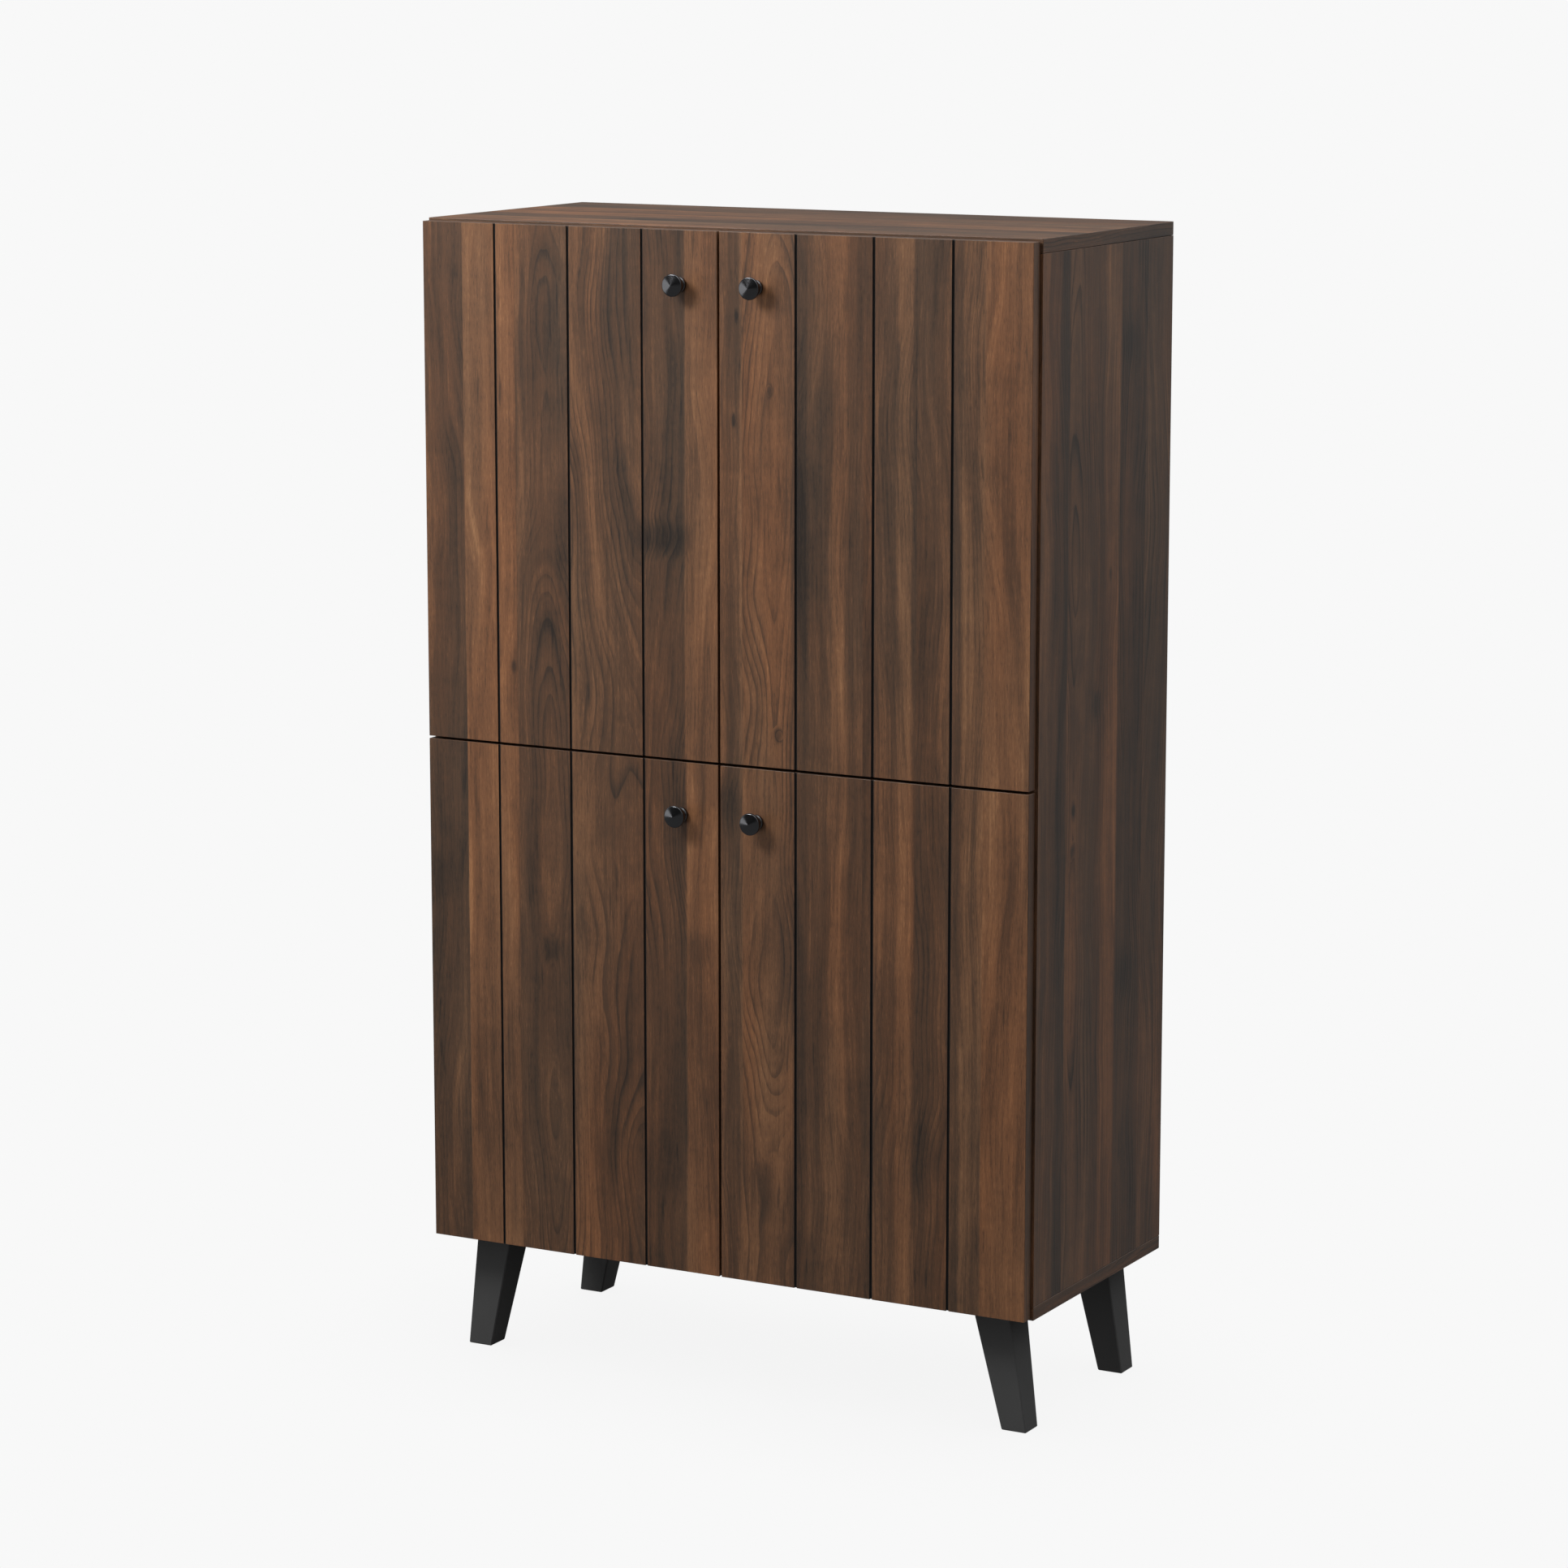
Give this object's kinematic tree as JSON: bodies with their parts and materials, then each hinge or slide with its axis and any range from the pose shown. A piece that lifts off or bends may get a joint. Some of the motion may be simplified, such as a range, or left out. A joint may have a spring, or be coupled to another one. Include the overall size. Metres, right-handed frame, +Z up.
{
  "type": "shoe cabinet",
  "caption": "Tall board cabinet on splayed tapered legs, with paired grooved doors on concealed hinges over shelved compartments for shoes.",
  "frame": {"origin": "on the floor, under the middle of the closed cabinet's overall box, knobs included", "axes": "+Z up; the doors face -Y; +X to the right for someone facing the doors"},
  "size_m": [0.8, 0.39, 1.377],
  "materials": {
    "walnut": "satin dark walnut veneer with vertical staves",
    "hardboard": "thin board with a matt printed wood face",
    "black_lacquer": "matt black lacquer",
    "black_metal": "satin black",
    "steel": "nickel plated"
  },
  "bodies": {
    "cabinet": {"top_panel": "walnut", "bottom_panel": "walnut", "side_panel_left": "walnut", "side_panel_right": "walnut", "back_panel": "hardboard", "middle_shelf": "walnut", "shelf_upper_high": "walnut", "shelf_upper_low": "walnut", "shelf_lower_high": "walnut", "shelf_lower_low": "walnut", "shelf_pin_upper_high_front_left": "steel", "shelf_pin_upper_high_front_right": "steel", "shelf_pin_upper_high_back_left": "steel", "shelf_pin_upper_high_back_right": "steel", "shelf_pin_upper_low_front_left": "steel", "shelf_pin_upper_low_front_right": "steel", "shelf_pin_upper_low_back_left": "steel", "shelf_pin_upper_low_back_right": "steel", "shelf_pin_lower_high_front_left": "steel", "shelf_pin_lower_high_front_right": "steel", "shelf_pin_lower_high_back_left": "steel", "shelf_pin_lower_high_back_right": "steel", "shelf_pin_lower_low_front_left": "steel", "shelf_pin_lower_low_front_right": "steel", "shelf_pin_lower_low_back_left": "steel", "shelf_pin_lower_low_back_right": "steel", "leg_front_left": "black_lacquer", "leg_front_right": "black_lacquer", "leg_back_left": "black_lacquer", "leg_back_right": "black_lacquer", "hinge_arm_upper_left_high": "steel", "hinge_arm_upper_left_low": "steel", "hinge_arm_upper_right_high": "steel", "hinge_arm_upper_right_low": "steel", "hinge_arm_lower_left_high": "steel", "hinge_arm_lower_left_low": "steel", "hinge_arm_lower_right_high": "steel", "hinge_arm_lower_right_low": "steel"},
    "door_upper_left": {"door_upper_left": "walnut", "knob_upper_left": "black_metal", "knob_screw_upper_left": "steel", "hinge_cup_upper_left_high": "steel", "hinge_cup_upper_left_low": "steel"},
    "door_upper_right": {"door_upper_right": "walnut", "knob_upper_right": "black_metal", "knob_screw_upper_right": "steel", "hinge_cup_upper_right_high": "steel", "hinge_cup_upper_right_low": "steel"},
    "door_lower_left": {"door_lower_left": "walnut", "knob_lower_left": "black_metal", "knob_screw_lower_left": "steel", "hinge_cup_lower_left_high": "steel", "hinge_cup_lower_left_low": "steel"},
    "door_lower_right": {"door_lower_right": "walnut", "knob_lower_right": "black_metal", "knob_screw_lower_right": "steel", "hinge_cup_lower_right_high": "steel", "hinge_cup_lower_right_low": "steel"}
  },
  "joints": [
    {"name": "upper_left_door_hinge", "type": "hinge", "parent": "cabinet", "child": "door_upper_left", "pos_m": [-0.392, -0.167, 1.068], "axis": [0, 0, -1], "range_deg": [0, 105]},
    {"name": "upper_right_door_hinge", "type": "hinge", "parent": "cabinet", "child": "door_upper_right", "pos_m": [0.392, -0.167, 1.068], "axis": [0, 0, 1], "range_deg": [0, 105]},
    {"name": "lower_left_door_hinge", "type": "hinge", "parent": "cabinet", "child": "door_lower_left", "pos_m": [-0.392, -0.167, 0.453], "axis": [0, 0, -1], "range_deg": [0, 105]},
    {"name": "lower_right_door_hinge", "type": "hinge", "parent": "cabinet", "child": "door_lower_right", "pos_m": [0.392, -0.167, 0.453], "axis": [0, 0, 1], "range_deg": [0, 105]}
  ]
}
